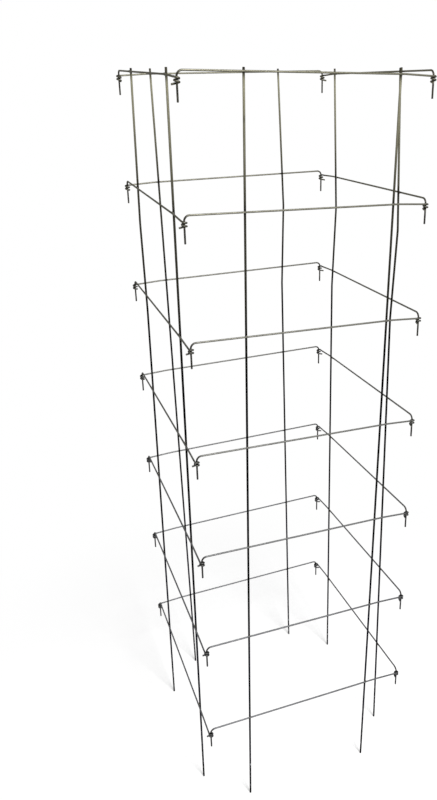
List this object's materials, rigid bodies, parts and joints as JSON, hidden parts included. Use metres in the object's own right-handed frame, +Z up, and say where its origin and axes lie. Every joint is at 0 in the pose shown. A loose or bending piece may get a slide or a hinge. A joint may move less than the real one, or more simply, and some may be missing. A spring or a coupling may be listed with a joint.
{
  "type": "folding tomato cage",
  "caption": "Square folding tomato cage of galvanised wire: ladder panels of upright legs and rungs, hinged at the corners by coils wound on bent-down pins.",
  "frame": {"origin": "on the ground, in the middle of the square that the open cage stands on", "axes": "+Z up along the legs, +X along the front panel's rungs from its pins to its coils, +Y from the front panel to the back panel"},
  "size_m": [0.4488, 0.4488, 1.473],
  "materials": {
    "leg_wire": "galvanised, dull, drawn wire",
    "rung_wire": "galvanised, satin, drawn wire",
    "weld_spot": "burnt zinc round a resistance weld"
  },
  "bodies": {
    "front_panel": {"front_panel_left_leg": "leg_wire", "front_panel_right_leg": "leg_wire", "front_panel_rung_1": "rung_wire", "front_panel_rung_2": "rung_wire", "front_panel_rung_3": "rung_wire", "front_panel_rung_4": "rung_wire", "front_panel_rung_5": "rung_wire", "front_panel_rung_6": "rung_wire", "front_panel_rung_7": "rung_wire", "front_panel_welds": "weld_spot"},
    "right_panel": {"right_panel_left_leg": "leg_wire", "right_panel_right_leg": "leg_wire", "right_panel_rung_1": "rung_wire", "right_panel_rung_2": "rung_wire", "right_panel_rung_3": "rung_wire", "right_panel_rung_4": "rung_wire", "right_panel_rung_5": "rung_wire", "right_panel_rung_6": "rung_wire", "right_panel_rung_7": "rung_wire", "right_panel_welds": "weld_spot"},
    "back_panel": {"back_panel_left_leg": "leg_wire", "back_panel_right_leg": "leg_wire", "back_panel_rung_1": "rung_wire", "back_panel_rung_2": "rung_wire", "back_panel_rung_3": "rung_wire", "back_panel_rung_4": "rung_wire", "back_panel_rung_5": "rung_wire", "back_panel_rung_6": "rung_wire", "back_panel_rung_7": "rung_wire", "back_panel_welds": "weld_spot"},
    "left_panel": {"left_panel_left_leg": "leg_wire", "left_panel_right_leg": "leg_wire", "left_panel_rung_1": "rung_wire", "left_panel_rung_2": "rung_wire", "left_panel_rung_3": "rung_wire", "left_panel_rung_4": "rung_wire", "left_panel_rung_5": "rung_wire", "left_panel_rung_6": "rung_wire", "left_panel_rung_7": "rung_wire", "left_panel_welds": "weld_spot"}
  },
  "joints": [
    {"name": "left_hinge", "type": "hinge", "parent": "front_panel", "child": "left_panel", "pos_m": [-0.21514, -0.21884, 0], "axis": [0, 0, 1], "range_deg": [-84, 84]},
    {"name": "back_hinge", "type": "hinge", "parent": "left_panel", "child": "back_panel", "pos_m": [-0.21884, 0.21514, 0], "axis": [0, 0, 1], "range_deg": [-84, 84]},
    {"name": "right_hinge", "type": "hinge", "parent": "front_panel", "child": "right_panel", "pos_m": [0.21884, -0.21514, 0], "axis": [0, 0, 1], "range_deg": [-84, 84]}
  ],
  "couplings": [
    {"joint": "back_hinge", "follows": "left_hinge", "ratio": -1},
    {"joint": "right_hinge", "follows": "left_hinge", "ratio": 1}
  ]
}
